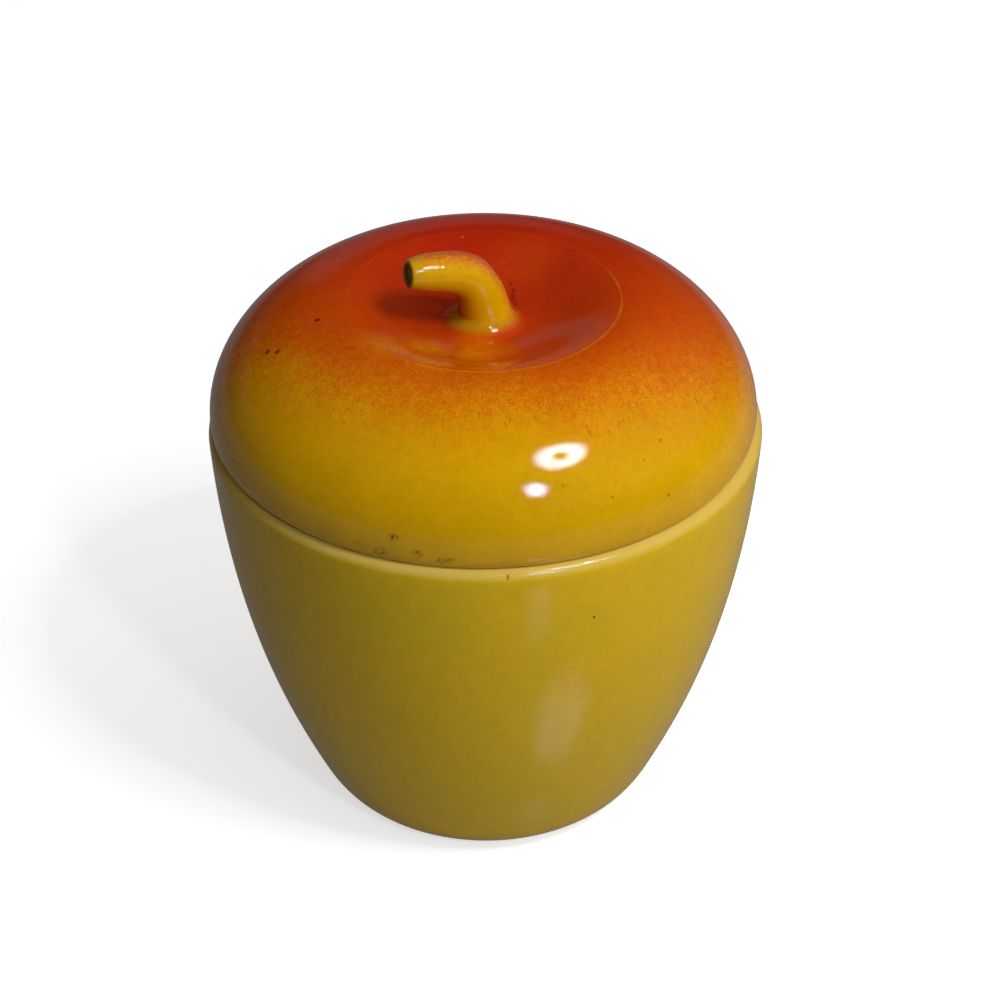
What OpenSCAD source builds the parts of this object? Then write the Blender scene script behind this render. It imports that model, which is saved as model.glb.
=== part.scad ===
// Covered jam pot in the shape of a ripe apple: a tapering pot, a domed lid that lifts off it,
// and a curved stalk on the lid. Glazed earthenware, in millimetres, +Z up.
// The origin is the middle of the foot, on the table. The stalk bends towards -X.

/* [Pot] */
// Outer width of the pot at its rim
pot_w = 96; // [86:1:110]
// Height of the rim above the table
pot_h = 75; // [60:1:95]
// Thickness of the pot's wall
pot_wall = 4; // [3:0.25:5.5]
// Thickness of the pot's floor, above the recess of the foot
floor_t = 4.5; // [3:0.25:6.5]
// Radius of the rounded outer edge of the rim
rim_round = 2; // [1:0.25:2.5]
// Radius of the rounded inner edge of the mouth
mouth_round = 1; // [0.25:0.25:1.5]

/* [Foot] */
// Outer width of the ring that the pot stands on
foot_w = 47; // [40:1:54]
// Width of the flat face of that ring
foot_face = 3; // [2:0.25:5]
// Depth of the recess inside the ring
foot_recess = 1.5; // [0.5:0.25:2.5]
// Width of the recess's curved edge
recess_edge = 3; // [1:0.25:5]
// Width of the pot where the rounded heel runs into the wall
heel_w = 65; // [60:1:72]
// Height of that place above the table
heel_h = 7.5; // [5:0.5:11]

/* [Lid] */
// Height of the lid's crown above the rim
crown_h = 22.75; // [16:0.25:30]
// Width of the crown, where the dome turns over into the dimple
crown_w = 49; // [40:1:60]
// Distance from the rim's outer edge in to the lid's widest place
lid_step = 0.75; // [0:0.25:1.5]
// Height of the lid's widest place above the rim
lid_belly = 2; // [1:0.25:4]
// Distance that the lid's lower edge curves in below its widest place
edge_in = 1; // [0.25:0.25:1.5]
// Depth of the dimple below the crown
dimple_depth = 4.5; // [2:0.25:8]
// Thickness of the lid's wall
lid_wall = 3.5; // [2.5:0.25:4.5]
// Distance from the crown's turn in to the fine mould ring
ring_in = 1.1; // [0.5:0.1:4]
// Thickness of the bead that makes the mould ring
ring_bead = 1; // [0.6:0.1:1.6]
// Height of the bead above the crown
ring_rise = 0.2; // [0.1:0.05:0.3]

/* [Flange] */
// Depth of the locating flange below the rim
flange_h = 5; // [3:0.5:8]
// Thickness of the flange
flange_t = 2.5; // [1.75:0.25:3.5]
// Radius of the flange's rounded lower corners
flange_round = 0.8; // [0.2:0.1:1.2]
// Height over which the flange's inner face blends into the dome
flange_blend = 9; // [5:0.5:13]
// Clearance between the flange and the mouth, on each side
lid_play = 1; // [0.8:0.1:1.6]
// Distance that the lid lies to the left within that clearance
lid_aside = 0.4; // [0:0.05:0.5]

/* [Stalk] */
// Distance from the lid's axis out to the stalk's end
stalk_reach = 12.4; // [10:0.2:18]
// Height of the stalk's end above its seat, at its centre
stalk_rise = 11; // [9:0.25:16]
// Thickness of the stalk above its collar
stalk_base_w = 8.8; // [7:0.2:10]
// Thickness that draws the stalk's middle in or out
stalk_mid_w = 8; // [6:0.2:9.6]
// Thickness of the stalk at its cut end
stalk_end_w = 5; // [3.6:0.2:7]
// Width of the collar where the stalk meets the lid
collar_w = 12; // [10.4:0.2:16]
// Height of the collar's flare
collar_h = 3; // [1.5:0.25:5]
// Flat margin round the collar, on the lid
seat_margin = 0.5; // [0.25:0.25:2]
// Radius of the lip round the stalk's cut end
lip_round = 0.4; // [0.2:0.1:0.8]
// Depth of the cut end inside its lip
cut_depth = 0.3; // [0.1:0.05:0.8]
// Turn of the stalk towards the front, in degrees
stalk_turn = 12; // [-30:1:40]

/* [Hidden] */
// Facets of a full turn, and steps along each curve and each small arc
turn_facets = 128;
curve_steps = 22;
short_steps = 10;
arc_steps = 6;
// Rings and sides of the swept stalk, and how closely its rings crowd towards the collar
stalk_rings = 30;
stalk_sides = 32;
ring_crowding = 1.35;
flare_power = 3;
// Handles of each curve, as shares of the box between its two ends
heel_shares = [[0, 0], [0.55, 0], [0.8, 0.45], [1, 1]];
wall_shares = [[0, 0], [0.3, 0.16], [0.895, 0.49], [1, 1]];
corner_shares = [[0, 0], [0.6, 0], [0.76, 0.45], [1, 1]];
recess_shares = [[0, 0], [0.1, 0.7], [0.45, 1], [1, 1]];
edge_shares = [[0, 0], [0.65, 0], [1, 0.4], [1, 1]];
dome_shares = [[0, 0], [0, 0.5], [0.5, 1], [1, 1]];
dimple_shares = [[0, 0], [0.32, 0], [0.55, 1], [1, 1]];
stalk_shares = [[0, 0], [0, 1.19], [0.66, 0.9], [1, 1]];
// Place along the wall where the rounded inner corner begins
corner_share = 0.12;
// Most of its wall that each rounded edge may take
rim_limit_share = 0.55;
mouth_limit_share = 0.3;
flange_limit_share = 0.4;
lip_limit_share = 0.3;

// Widths as radii, and the edges that their walls limit
pot_r = pot_w / 2;
mouth_r = pot_r - pot_wall;
foot_r = foot_w / 2;
foot_in_r = foot_r - foot_face;
rim_edge = min(rim_round, pot_wall * rim_limit_share);
mouth_edge = min(mouth_round, pot_wall * mouth_limit_share);
lid_r = pot_r - lid_step;
crown_r = crown_w / 2;
ring_r = crown_r - ring_in;
flange_r = mouth_r - lid_play;
flange_in_r = flange_r - flange_t;
flange_edge = min(flange_round, flange_t * flange_limit_share);
collar_r = collar_w / 2;
seat_r = collar_r + seat_margin;
stalk_end_r = stalk_end_w / 2;
lip_edge = min(lip_round, stalk_end_r * lip_limit_share);
// Heights: the pot's floor inside, and the stalk's seat above the rim
floor_z = foot_recess + floor_t;
seat_h = crown_h - dimple_depth;

// A place between two corners, from a pair of shares
function place(from, to, share) =
    [from.x + (to.x - from.x) * share.x, from.y + (to.y - from.y) * share.y];

// The four handles of a curve between two corners
function handles(from, to, shares) = [for (share = shares) place(from, to, share)];

// A point on the curve of four handles, and the curve's direction there
function on_curve(h, t) =
    pow(1 - t, 3) * h[0] + 3 * pow(1 - t, 2) * t * h[1] + 3 * (1 - t) * pow(t, 2) * h[2] + pow(t, 3) * h[3];
function along_curve(h, t) =
    let (d = pow(1 - t, 2) * (h[1] - h[0]) + 2 * (1 - t) * t * (h[2] - h[1]) + pow(t, 2) * (h[3] - h[2]))
    d / norm(d);

// The points of a curve from share t0 to its end, and the same curve set in by a wall on its left
function curve(h, steps, t0 = 0) = [for (i = [0:steps]) on_curve(h, t0 + (1 - t0) * i / steps)];
function set_in(h, steps, wall, t0 = 0) = [
    for (i = [0:steps])
        let (t = t0 + (1 - t0) * i / steps, d = along_curve(h, t))
        on_curve(h, t) + wall * [-d.y, d.x]
];

// An arc about a centre, from one angle to another
function arc(centre, r, a0, a1) = [
    for (i = [0:arc_steps])
        let (a = a0 + (a1 - a0) * i / arc_steps)
        centre + r * [cos(a), sin(a)]
];

// A list of points in the opposite order
function backwards(points) = [for (i = [len(points) - 1:-1:0]) points[i]];

// Half section of the pot: foot, heel, wall and rim outside, then mouth, wall and floor inside
heel_curve = handles([foot_r, 0], [heel_w / 2, heel_h], heel_shares);
wall_curve = handles([heel_w / 2, heel_h], [pot_r, pot_h - rim_edge], wall_shares);
inner_wall = set_in(wall_curve, curve_steps, pot_wall, corner_share);
corner_curve = handles([foot_r, floor_z], inner_wall[0], corner_shares);
recess_curve = handles([foot_in_r, 0], [foot_in_r - recess_edge, foot_recess], recess_shares);
pot_outline = concat(
    [[0, foot_recess]],
    backwards(curve(recess_curve, arc_steps)),
    curve(heel_curve, short_steps),
    curve(wall_curve, curve_steps),
    arc([pot_r - rim_edge, pot_h - rim_edge], rim_edge, 0, 90),
    arc([mouth_r + mouth_edge, pot_h - mouth_edge], mouth_edge, 90, 180),
    backwards(inner_wall),
    backwards(curve(corner_curve, short_steps)),
    [[0, floor_z]]
);

// Half section of the lid, measured from the rim up: flange, resting face, edge, dome and dimple
// outside, then the dimple's underside, the hollow dome and the flange's inner face
edge_curve = handles([lid_r - edge_in, 0], [lid_r, lid_belly], edge_shares);
dome_curve = handles([lid_r, lid_belly], [crown_r, crown_h], dome_shares);
dimple_curve = handles([crown_r, crown_h], [seat_r, seat_h], dimple_shares);
// The hollow dome draws in towards the flange over its last few millimetres
function blended(p) =
    [p.x + (flange_in_r - p.x) * pow(max(0, 1 - p.y / flange_blend), 2), max(0, p.y)];
inner_dome = [for (p = set_in(dome_curve, curve_steps, lid_wall)) blended(p)];
lid_outline = concat(
    arc([flange_in_r + flange_edge, flange_edge - flange_h], flange_edge, 180, 270),
    arc([flange_r - flange_edge, flange_edge - flange_h], flange_edge, 270, 360),
    [[flange_r, 0]],
    curve(edge_curve, arc_steps),
    curve(dome_curve, curve_steps),
    curve(dimple_curve, curve_steps),
    [[0, seat_h], [0, seat_h - lid_wall]],
    backwards(set_in(dimple_curve, curve_steps, lid_wall)),
    backwards(inner_dome),
    [[flange_in_r, 0]]
);

// Height of the dimple's curve at a radius, found between its two nearest points
dimple_points = curve(dimple_curve, curve_steps);
function dimple_height(r) = lookup(r, [for (p = backwards(dimple_points)) [p.x, p.y]]);

// The stalk's middle line and its thickness, from the collar at 0 to the cut end at 1
stalk_curve = handles([0, 0], [-stalk_reach, stalk_rise], stalk_shares);
function stalk_r(t) =
    (pow(1 - t, 2) * stalk_base_w + 2 * (1 - t) * t * stalk_mid_w + pow(t, 2) * stalk_end_w) / 2;
function flare_r(height) =
    (collar_r - stalk_base_w / 2) * pow(max(0, 1 - height / collar_h), flare_power);

// Each ring of the stalk is [middle, direction, radius]
function ring_at(t) =
    let (p = on_curve(stalk_curve, t))
    [p, along_curve(stalk_curve, t), stalk_r(t) + flare_r(p.y)];
stalk_end = ring_at(1);
function end_ring(forward, r) = [stalk_end[0] + forward * stalk_end[1], stalk_end[1], r];
lip_rings = [
    for (i = [1:arc_steps])
        let (a = 90 * i / arc_steps)
        end_ring(lip_edge * sin(a), stalk_end_r - lip_edge * (1 - cos(a)))
];
cut_ring = end_ring(lip_edge - cut_depth, stalk_end_r - lip_edge);
stalk_frames = concat(
    [for (i = [0:stalk_rings]) ring_at(pow(i / stalk_rings, ring_crowding))],
    lip_rings,
    [cut_ring]
);

// A ring's points in space: the stalk bends in the plane of X and Z
function ring_points(ring) = [
    for (k = [0:stalk_sides - 1])
        let (a = 360 * k / stalk_sides, across = ring[2] * sin(a))
        [ring[0].x - ring[1].y * across, ring[2] * cos(a), ring[0].y + ring[1].x * across]
];

// A tube through a list of rings, closed at both ends
module swept(rings) {
    sides = stalk_sides;
    last = (len(rings) - 1) * sides;
    points = [for (ring = rings) each ring_points(ring)];
    walls = [
        for (j = [0:len(rings) - 2])
            for (k = [0:sides - 1])
                let (a = j * sides + k, b = j * sides + (k + 1) % sides)
                each [[a, a + sides, b], [b, a + sides, b + sides]]
    ];
    ends = [[for (k = [0:sides - 1]) k], [for (k = [sides - 1:-1:0]) last + k]];
    polyhedron(points = points, faces = concat(walls, ends));
}

module pot() {
    color([0.7, 0.56, 0.08])
        rotate_extrude($fn = turn_facets)
            polygon(pot_outline);
}

module lid() {
    color([0.78, 0.3, 0.03])
        translate([-lid_aside, 0, pot_h])
            union() {
                rotate_extrude($fn = turn_facets)
                    polygon(lid_outline);
                rotate_extrude($fn = turn_facets)
                    translate([ring_r, dimple_height(ring_r) + ring_rise - ring_bead / 2])
                        circle(d = ring_bead, $fn = turn_facets / 4);
            }
}

module stem() {
    color([0.85, 0.62, 0.04])
        translate([-lid_aside, 0, pot_h + seat_h])
            rotate([0, 0, stalk_turn])
                swept(stalk_frames);
}

pot();
lid();
stem();
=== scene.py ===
import math

import bpy
import numpy as np
from mathutils import Matrix, Vector, noise


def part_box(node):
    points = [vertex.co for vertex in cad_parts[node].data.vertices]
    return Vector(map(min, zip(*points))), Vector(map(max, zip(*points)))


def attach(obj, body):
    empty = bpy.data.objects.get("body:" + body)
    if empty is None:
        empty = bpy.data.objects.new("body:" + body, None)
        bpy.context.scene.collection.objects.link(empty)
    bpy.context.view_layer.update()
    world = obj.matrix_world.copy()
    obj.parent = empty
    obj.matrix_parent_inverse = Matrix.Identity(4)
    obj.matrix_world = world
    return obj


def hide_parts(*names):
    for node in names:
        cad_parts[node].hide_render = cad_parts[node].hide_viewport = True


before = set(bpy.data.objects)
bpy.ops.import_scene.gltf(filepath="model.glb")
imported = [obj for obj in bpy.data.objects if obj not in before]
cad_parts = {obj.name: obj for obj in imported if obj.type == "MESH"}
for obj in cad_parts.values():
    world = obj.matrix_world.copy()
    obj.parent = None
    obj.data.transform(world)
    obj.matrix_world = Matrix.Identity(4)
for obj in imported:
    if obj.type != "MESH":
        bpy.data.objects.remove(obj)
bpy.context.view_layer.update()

# The looks of a covered jam pot in the shape of an apple: pot, lid and stalk in glazed earthenware.
# Lengths are in metres and angles in degrees. The stalk bends towards -X.

MM = 0.001

# The CAD model's box, and the places that the CAD nodes give
pot_low, pot_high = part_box("pot")
lid_low, lid_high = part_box("lid")
stem_low, stem_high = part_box("stem")
POT_R = (pot_high.x - pot_low.x) / 2
RIM_Z = pot_high.z
LID_R = (lid_high.x - lid_low.x) / 2
LID_X = (lid_high.x + lid_low.x) / 2
FLANGE_H = RIM_Z - lid_low.z
SEAT_Z = stem_low.z

# Pot: wall, floor, rim and foot
POT_WALL = 4 * MM
FLOOR_T = 4.5 * MM
RIM_EDGE = 2 * MM
MOUTH_EDGE = 1 * MM
FOOT_R = 23.5 * MM
FOOT_FACE = 3 * MM
FOOT_RECESS = 1.5 * MM
RECESS_EDGE = 3 * MM
HEEL_R = 32.5 * MM
HEEL_H = 7.5 * MM

# Lid: dome, dimple, mould ring and locating flange
CROWN_H = 22.75 * MM
CROWN_R = 24.5 * MM
LID_BELLY = 2 * MM
EDGE_IN = 1 * MM
LID_WALL = 3.5 * MM
RING_R = 23.4 * MM
RING_RISE = 0.16 * MM
RING_HALF_W = 0.26 * MM
FLANGE_T = 2.5 * MM
FLANGE_EDGE = 0.8 * MM
FLANGE_BLEND = 9 * MM
LID_PLAY = 1 * MM

# Stalk: its middle line, thickness, foot and cut end
STALK_OFFSET = 0.6 * MM
STALK_REACH = 13 * MM
STALK_RISE = 12.2 * MM
STALK_BASE_W = 9.2 * MM
STALK_NECK_W = 5.9 * MM
STALK_END_W = 5.1 * MM
END_TAPER = 3.3 * MM
END_TAPER_POWER = 1.45
FOOT_FLARE = 3.2 * MM
LIP_EDGE = 0.45 * MM
STALK_END_RISE = 6
CUT_DROP = 0.3 * MM
CUT_DEPTH = 0.15 * MM
CUT_RING_SHARES = (0.78, 0.4, 0.1)
STALK_TURN = 22.3
SEAT_R = 6.5 * MM

# Handles of each curve, as shares of the box between its two ends
HEEL_SHARES = [(0, 0), (0.55, 0), (0.8, 0.45), (1, 1)]
WALL_SHARES = [(0, 0), (0.3, 0.16), (0.895, 0.49), (1, 1)]
CORNER_SHARES = [(0, 0), (0.6, 0), (0.76, 0.45), (1, 1)]
RECESS_SHARES = [(0, 0), (0.1, 0.7), (0.45, 1), (1, 1)]
EDGE_SHARES = [(0, 0), (0.65, 0), (1, 0.4), (1, 1)]
DOME_SHARES = [(0, 0), (0, 0.5), (0.5, 1), (1, 1)]
DIMPLE_SHARES = [(0, 0), (0.32, 0), (0.55, 1), (1, 1)]
STALK_SHARES = [(0, 0), (0.088, 0.815), (0.223, 0.909), (1, 1)]
CORNER_SHARE = 0.12

# Fineness of the meshes, and how much the stalk's rings crowd towards its foot
TURN_STEPS = 384
CURVE_STEPS = 56
HOLLOW_STEPS = 32
SHORT_STEPS = 20
ARC_STEPS = 8
STALK_RINGS = 96
STALK_SIDES = 72
STALK_CROWDING = 1.8

# The finer steps of the lid's outline at the mould ring
FINE_REACH = 4 * RING_HALF_W
FINE_STEP = RING_HALF_W / 2

# Lengths that count as none: between two points, and from the axis
SAME_PLACE = 1e-7
NO_LENGTH = 1e-9


def handles(start, end, shares):
    """The four handles of a curve between two corners."""
    start, end = np.array(start, float), np.array(end, float)
    return start + (end - start) * np.array(shares, float)


def on_curve(h, t):
    """Points on the curve of four handles."""
    t = np.atleast_1d(t)[:, None]
    s = 1 - t
    return s**3 * h[0] + 3 * s**2 * t * h[1] + 3 * s * t**2 * h[2] + t**3 * h[3]


def along_curve(h, t):
    """The curve's directions at those points."""
    t = np.atleast_1d(t)[:, None]
    s = 1 - t
    d = s**2 * (h[1] - h[0]) + 2 * s * t * (h[2] - h[1]) + t**2 * (h[3] - h[2])
    return d / np.linalg.norm(d, axis=1)[:, None]


def curve(h, steps):
    """The points of a whole curve."""
    return on_curve(h, np.linspace(0, 1, steps + 1))


def set_in(h, steps, wall, t0=0.0):
    """The curve from share t0 to its end, set in by a wall on its left."""
    t = np.linspace(t0, 1, steps + 1)
    d = along_curve(h, t)
    return on_curve(h, t) + wall * np.column_stack([-d[:, 1], d[:, 0]])


def arc(centre, radius, a0, a1):
    """An arc about a centre, from one angle to another."""
    a = np.radians(np.linspace(a0, a1, ARC_STEPS + 1))
    return np.array(centre) + radius * np.column_stack([np.cos(a), np.sin(a)])


def joined(*parts):
    """One outline from several lists of points, without the doubled ones."""
    points = np.vstack(parts)
    apart = np.linalg.norm(np.diff(points, axis=0), axis=1) > SAME_PLACE
    return points[np.append(True, apart)]


def pot_outline():
    """Half section of the pot, outside from foot to rim and then inside from mouth to floor."""
    heel = handles((FOOT_R, 0), (HEEL_R, HEEL_H), HEEL_SHARES)
    wall = handles((HEEL_R, HEEL_H), (POT_R, RIM_Z - RIM_EDGE), WALL_SHARES)
    inner_wall = set_in(wall, CURVE_STEPS, POT_WALL, CORNER_SHARE)
    floor_z = FOOT_RECESS + FLOOR_T
    corner = handles((FOOT_R, floor_z), inner_wall[0], CORNER_SHARES)
    foot_in_r = FOOT_R - FOOT_FACE
    recess = handles((foot_in_r, 0), (foot_in_r - RECESS_EDGE, FOOT_RECESS), RECESS_SHARES)
    mouth_r = POT_R - POT_WALL
    return joined(
        [[0, FOOT_RECESS]],
        curve(recess, SHORT_STEPS)[::-1],
        curve(heel, SHORT_STEPS),
        curve(wall, CURVE_STEPS),
        arc((POT_R - RIM_EDGE, RIM_Z - RIM_EDGE), RIM_EDGE, 0, 90),
        arc((mouth_r + MOUTH_EDGE, RIM_Z - MOUTH_EDGE), MOUTH_EDGE, 90, 180),
        inner_wall[::-1],
        curve(corner, SHORT_STEPS)[::-1],
        [[0, floor_z]],
    )


def finer_near_ring(points):
    """The outline with short steps where it crosses the mould ring."""
    low, high = RING_R - FINE_REACH, RING_R + FINE_REACH
    made = [points[0]]
    for a, b in zip(points[:-1], points[1:]):
        crosses = min(a[0], b[0]) < high and max(a[0], b[0]) > low
        steps = max(1, math.ceil(abs(b[0] - a[0]) / FINE_STEP)) if crosses else 1
        made += [a + (b - a) * i / steps for i in range(1, steps + 1)]
    return np.array(made)


def lid_outline():
    """Half section of the lid from the rim's height: flange, dome, dimple, then the hollow."""
    seat_h = SEAT_Z - RIM_Z
    flange_r = POT_R - POT_WALL - LID_PLAY
    flange_in_r = flange_r - FLANGE_T
    edge = handles((LID_R - EDGE_IN, 0), (LID_R, LID_BELLY), EDGE_SHARES)
    dome = handles((LID_R, LID_BELLY), (CROWN_R, CROWN_H), DOME_SHARES)
    dimple = handles((CROWN_R, CROWN_H), (SEAT_R, seat_h), DIMPLE_SHARES)
    top = np.vstack([curve(dome, CURVE_STEPS), curve(dimple, CURVE_STEPS)])
    inner = set_in(dome, HOLLOW_STEPS, LID_WALL)
    drawn_in = np.maximum(0, 1 - inner[:, 1] / FLANGE_BLEND) ** 2
    inner[:, 0] += (flange_in_r - inner[:, 0]) * drawn_in
    inner[:, 1] = np.maximum(0, inner[:, 1])
    inner_corner = (flange_in_r + FLANGE_EDGE, FLANGE_EDGE - FLANGE_H)
    outer_corner = (flange_r - FLANGE_EDGE, FLANGE_EDGE - FLANGE_H)
    return joined(
        arc(inner_corner, FLANGE_EDGE, 180, 270),
        arc(outer_corner, FLANGE_EDGE, 270, 360),
        [[flange_r, 0]],
        curve(edge, SHORT_STEPS),
        finer_near_ring(top),
        [[0, seat_h], [0, seat_h - LID_WALL]],
        set_in(dimple, HOLLOW_STEPS, LID_WALL)[::-1],
        inner[::-1],
        [[flange_in_r, 0]],
        arc(inner_corner, FLANGE_EDGE, 180, 270)[:1],
    )


def new_object(name, points, faces):
    """A smooth-shaded mesh object from points and faces."""
    mesh = bpy.data.meshes.new(name)
    mesh.from_pydata([tuple(p) for p in points], [], faces)
    mesh.validate()
    mesh.polygons.foreach_set("use_smooth", [True] * len(mesh.polygons))
    made = bpy.data.objects.new(name, mesh)
    bpy.context.scene.collection.objects.link(made)
    return made


def revolved(name, outline, axis_x=0.0, base_z=0.0, closed=False, shape=None):
    """A surface of revolution about a vertical axis. A point at radius 0 becomes one pole."""
    angles = np.linspace(0, 2 * math.pi, TURN_STEPS, endpoint=False)
    points, rings = [], []
    for r, z in outline:
        start = len(points)
        if r < SAME_PLACE:
            points.append((0, 0, z))
            rings.append([start] * TURN_STEPS)
        else:
            points += [(r * math.cos(a), r * math.sin(a), z) for a in angles]
            rings.append(list(range(start, start + TURN_STEPS)))
    if closed:
        rings[-1] = rings[0]
    faces = []
    for low, high in zip(rings[:-1], rings[1:]):
        for k in range(TURN_STEPS):
            n = (k + 1) % TURN_STEPS
            corners = [low[k], low[n], high[n], high[k]]
            face = [c for i, c in enumerate(corners) if c != corners[i - 1]]
            if len(face) > 2:
                faces.append(face)
    points = np.array(points, float)
    if shape:
        points = shape(points)
    return new_object(name, points + [axis_x, 0, base_z], faces)


def uneven(points, size, amount, seed):
    """A slow noise at each point, from -amount to amount, with humps about size across."""
    shift = Vector((seed, 2 * seed, 3 * seed))
    return np.array([amount * noise.noise(Vector(p) / size + shift) for p in points])


def outward(points, amounts):
    """The points moved away from the Z axis."""
    r = np.maximum(NO_LENGTH, np.hypot(points[:, 0], points[:, 1]))
    moved = points.copy()
    moved[:, 0] += points[:, 0] / r * amounts
    moved[:, 1] += points[:, 1] / r * amounts
    return moved


def at_azimuth(azimuth, radius, height):
    """A place by its angle from the front towards +X, its radius and its height."""
    a = math.radians(azimuth)
    return Vector((radius * math.sin(a), -radius * math.cos(a), height))


# Hand-made unevenness of pot and lid, with a seed for each noise
HUMP_SIZE = 38 * MM
HUMP = 0.06 * MM
POT_SEED = 3.1
LID_SEED = 5.3
RIM_WAVE_SIZE = 17 * MM
RIM_WAVE = 0.12 * MM
RIM_WAVE_DROP = 4 * MM
RIM_SEED = 7.7

# The small chip in the pot's rim
CHIP_AZIMUTH = 4.1
CHIP_R = 1.3 * MM
CHIP_DEPTH = 0.15 * MM
CHIP_IN = 0.3 * MM
CHIP_DROP = 0.9 * MM
CHIP_POWER = 0.7


def pot_shape(points):
    """Slight unevenness all over, a rim that isn't quite level, and the chip."""
    moved = outward(points, uneven(points, HUMP_SIZE, HUMP, POT_SEED))
    near_rim = np.clip(1 - (RIM_Z - points[:, 2]) / RIM_WAVE_DROP, 0, 1)
    moved[:, 2] -= near_rim * np.abs(uneven(points, RIM_WAVE_SIZE, RIM_WAVE, RIM_SEED))
    chip = np.array(at_azimuth(CHIP_AZIMUTH, POT_R - CHIP_IN, RIM_Z - CHIP_DROP))
    within = np.clip(1 - np.linalg.norm(points - chip, axis=1) / CHIP_R, 0, 1)
    return outward(moved, -CHIP_DEPTH * within**CHIP_POWER)


# The mould ring: how it wanders, by amount, waves in a turn and shift, where it is clearest,
# and how it breaks up
RING_WANDER = [(0.12 * MM, 2, 0.8), (0.08 * MM, 5, 0)]
RING_CLEAR_AZIMUTH = 30
RING_CLEAR = 0.6
RING_FAINTEST = 0.3
RING_STRENGTH = 0.75
RING_BREAK_SIZE = 4 * MM
RING_BREAK = 0.35
RING_SEED = 11.3
RING_BELOW_CROWN = 1.5 * MM


def lid_shape(points):
    """Slight unevenness all over, and the fine raised ring on the crown."""
    r = np.hypot(points[:, 0], points[:, 1])
    azimuth = np.arctan2(points[:, 0], -points[:, 1])
    wander = sum(amount * np.sin(waves * azimuth + shift) for amount, waves, shift in RING_WANDER)
    bead = np.exp(-(((r - RING_R - wander) / RING_HALF_W) ** 2))
    from_clearest = azimuth - math.radians(RING_CLEAR_AZIMUTH)
    clear = np.clip(RING_CLEAR + RING_CLEAR * np.cos(from_clearest), RING_FAINTEST, 1)
    broken = uneven(points, RING_BREAK_SIZE, RING_BREAK, RING_SEED)
    on_top = points[:, 2] > CROWN_H - RING_BELOW_CROWN
    rise = RING_RISE * bead * (RING_STRENGTH + broken) * clear
    moved = points.copy()
    moved[:, 2] += np.where(on_top, rise, 0)
    return outward(moved, uneven(points, HUMP_SIZE, HUMP, LID_SEED))


def stalk_frames():
    """The stalk's rings from its foot to its cut end: middles, directions and radii."""
    line = handles((STALK_OFFSET, 0), (-STALK_REACH, STALK_RISE), STALK_SHARES)
    t = np.linspace(0, 1, STALK_RINGS + 1) ** STALK_CROWDING
    middle, ahead = on_curve(line, t), along_curve(line, t)
    run = np.append(0, np.cumsum(np.linalg.norm(np.diff(middle, axis=0), axis=1)))
    near_end = np.clip(1 - (run[-1] - run) / END_TAPER, 0, 1) ** END_TAPER_POWER
    width = STALK_BASE_W + (STALK_NECK_W - STALK_BASE_W) * run / run[-1]
    radius = (width - (STALK_NECK_W - STALK_END_W) * near_end) / 2
    above = np.clip(middle[:, 1] / FOOT_FLARE, 0, 1)
    radius += FOOT_FLARE * (1 - np.sqrt(1 - (1 - above) ** 2))
    middle[:, 0] -= STALK_OFFSET * (1 - above) ** 2
    ahead = ahead * above[:, None] + np.array([0, 1]) * (1 - above)[:, None]
    ahead /= np.linalg.norm(ahead, axis=1)[:, None]
    end_r, tip, way = STALK_END_W / 2, middle[-1], ahead[-1]
    lip = arc((0, 0), LIP_EDGE, 0, 180)[1:]
    ends = [(forward, end_r - LIP_EDGE + across) for across, forward in lip]
    ends += [(-CUT_DEPTH, end_r * share) for share in CUT_RING_SHARES]
    for forward, ring_r in ends:
        middle = np.vstack([middle, tip + way * forward])
        ahead = np.vstack([ahead, way])
        radius = np.append(radius, ring_r)
    return middle, ahead, radius


# Unevenness of the stalk
STALK_PUSH_SIZE = 4.5 * MM
STALK_PUSH = 0.16 * MM
STALK_SEED = 2.2


def stalk_points():
    """The stalk's points in space, seated on the lid and turned a little towards the front."""
    middle, ahead, radius = stalk_frames()
    a = np.linspace(0, 2 * math.pi, STALK_SIDES, endpoint=False)
    across, side = np.outer(radius, np.sin(a)), np.outer(radius, np.cos(a))
    x = middle[:, :1] - ahead[:, 1:] * across
    z = middle[:, 1:] + ahead[:, :1] * across
    points = np.stack([x, side, z], axis=-1).reshape(-1, 3)
    push = uneven(points, STALK_PUSH_SIZE, STALK_PUSH, STALK_SEED)
    push *= np.clip(points[:, 2] / FOOT_FLARE, 0, 1)
    centre = np.column_stack([middle[:, 0], 0 * middle[:, 0], middle[:, 1]])
    out = points - np.repeat(centre, STALK_SIDES, axis=0)
    out /= np.maximum(NO_LENGTH, np.linalg.norm(out, axis=1))[:, None]
    points += out * push[:, None]
    turn = math.radians(STALK_TURN)
    x = points[:, 0] * math.cos(turn) - points[:, 1] * math.sin(turn)
    y = points[:, 0] * math.sin(turn) + points[:, 1] * math.cos(turn)
    return np.column_stack([x + LID_X, y, np.maximum(points[:, 2], 0) + SEAT_Z])


def stalk_mesh(name):
    """A swept tube, closed at its foot and in the cut end."""
    points = stalk_points()
    rings = len(points) // STALK_SIDES
    faces = []
    for j in range(rings - 1):
        for k in range(STALK_SIDES):
            a, b = j * STALK_SIDES + k, j * STALK_SIDES + (k + 1) % STALK_SIDES
            faces.append([a, a + STALK_SIDES, b + STALK_SIDES, b])
    last = (rings - 1) * STALK_SIDES
    faces.append(list(range(STALK_SIDES)))
    faces.append([last + k for k in reversed(range(STALK_SIDES))])
    return new_object(name, points, faces)


# Most of a noise lies between these
NOISE_LOW = 0.3
NOISE_HIGH = 0.7


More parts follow.
